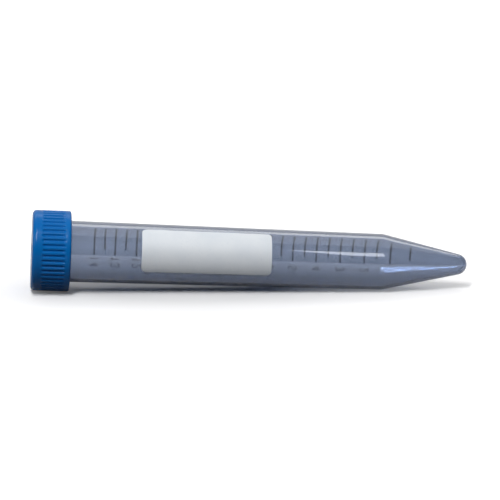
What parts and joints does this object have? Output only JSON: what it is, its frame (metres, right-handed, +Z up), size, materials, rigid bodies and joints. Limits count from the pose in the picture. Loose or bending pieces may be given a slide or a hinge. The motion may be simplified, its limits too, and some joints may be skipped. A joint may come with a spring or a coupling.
{
  "type": "conical centrifuge tube",
  "caption": "Long clear plastic tube with a conical closed end, a threaded mouth and a ribbed blue screw cap, lying on its side.",
  "frame": {"origin": "on the bench, under the middle of the lying tube's box", "axes": "+Z up; the tube lies along X with its cap towards -X and its tip towards +X, its axis 2.2 degrees down towards the tip"},
  "size_m": [0.1202, 0.022, 0.0222],
  "materials": {
    "clear_polypropylene": "gloss",
    "blue_polyethylene": "satin",
    "white_print": "satin",
    "dark_print": "satin"
  },
  "bodies": {
    "tube_body": {"tube": "clear_polypropylene"},
    "cap_body": {"screw_cap": "blue_polyethylene"}
  },
  "joints": [
    {"name": "cap_off", "type": "slide", "parent": "tube_body", "child": "cap_body", "axis": [-0.9993, 0, 0.0379], "range_m": [0, 0.03]}
  ]
}
